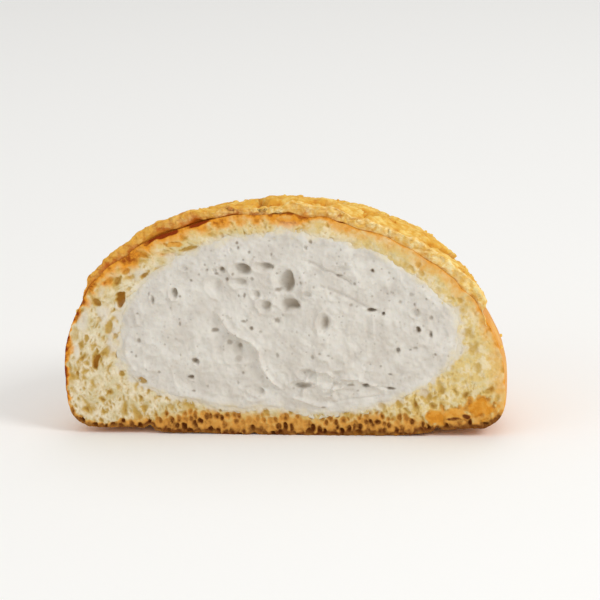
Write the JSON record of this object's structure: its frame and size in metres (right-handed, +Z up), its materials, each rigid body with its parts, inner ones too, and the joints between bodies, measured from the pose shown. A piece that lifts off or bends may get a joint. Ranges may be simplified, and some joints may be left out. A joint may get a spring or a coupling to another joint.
{
  "type": "cream-filled streusel bun half",
  "caption": "Half of a soft round bun with a cracked streusel crust and a whipped cream core, cut upright through its middle and lying on its flat base.",
  "frame": {"origin": "on the table, under the middle of the part's bounding box", "axes": "+X along the cut face, the widest way; the cut face looks along -Y; +Z up from the flat base to the streusel top"},
  "size_m": [0.1, 0.05, 0.0533],
  "materials": {
    "bread": "open pale crumb on the cut, browned satin skin outside",
    "streusel_crust": "dry, grainy, baked golden",
    "cream_filling": "smooth whipped cream, soft sheen"
  },
  "bodies": {
    "root": {"bread": "bread", "streusel_crust": "streusel_crust", "cream_filling": "cream_filling"}
  },
  "joints": []
}
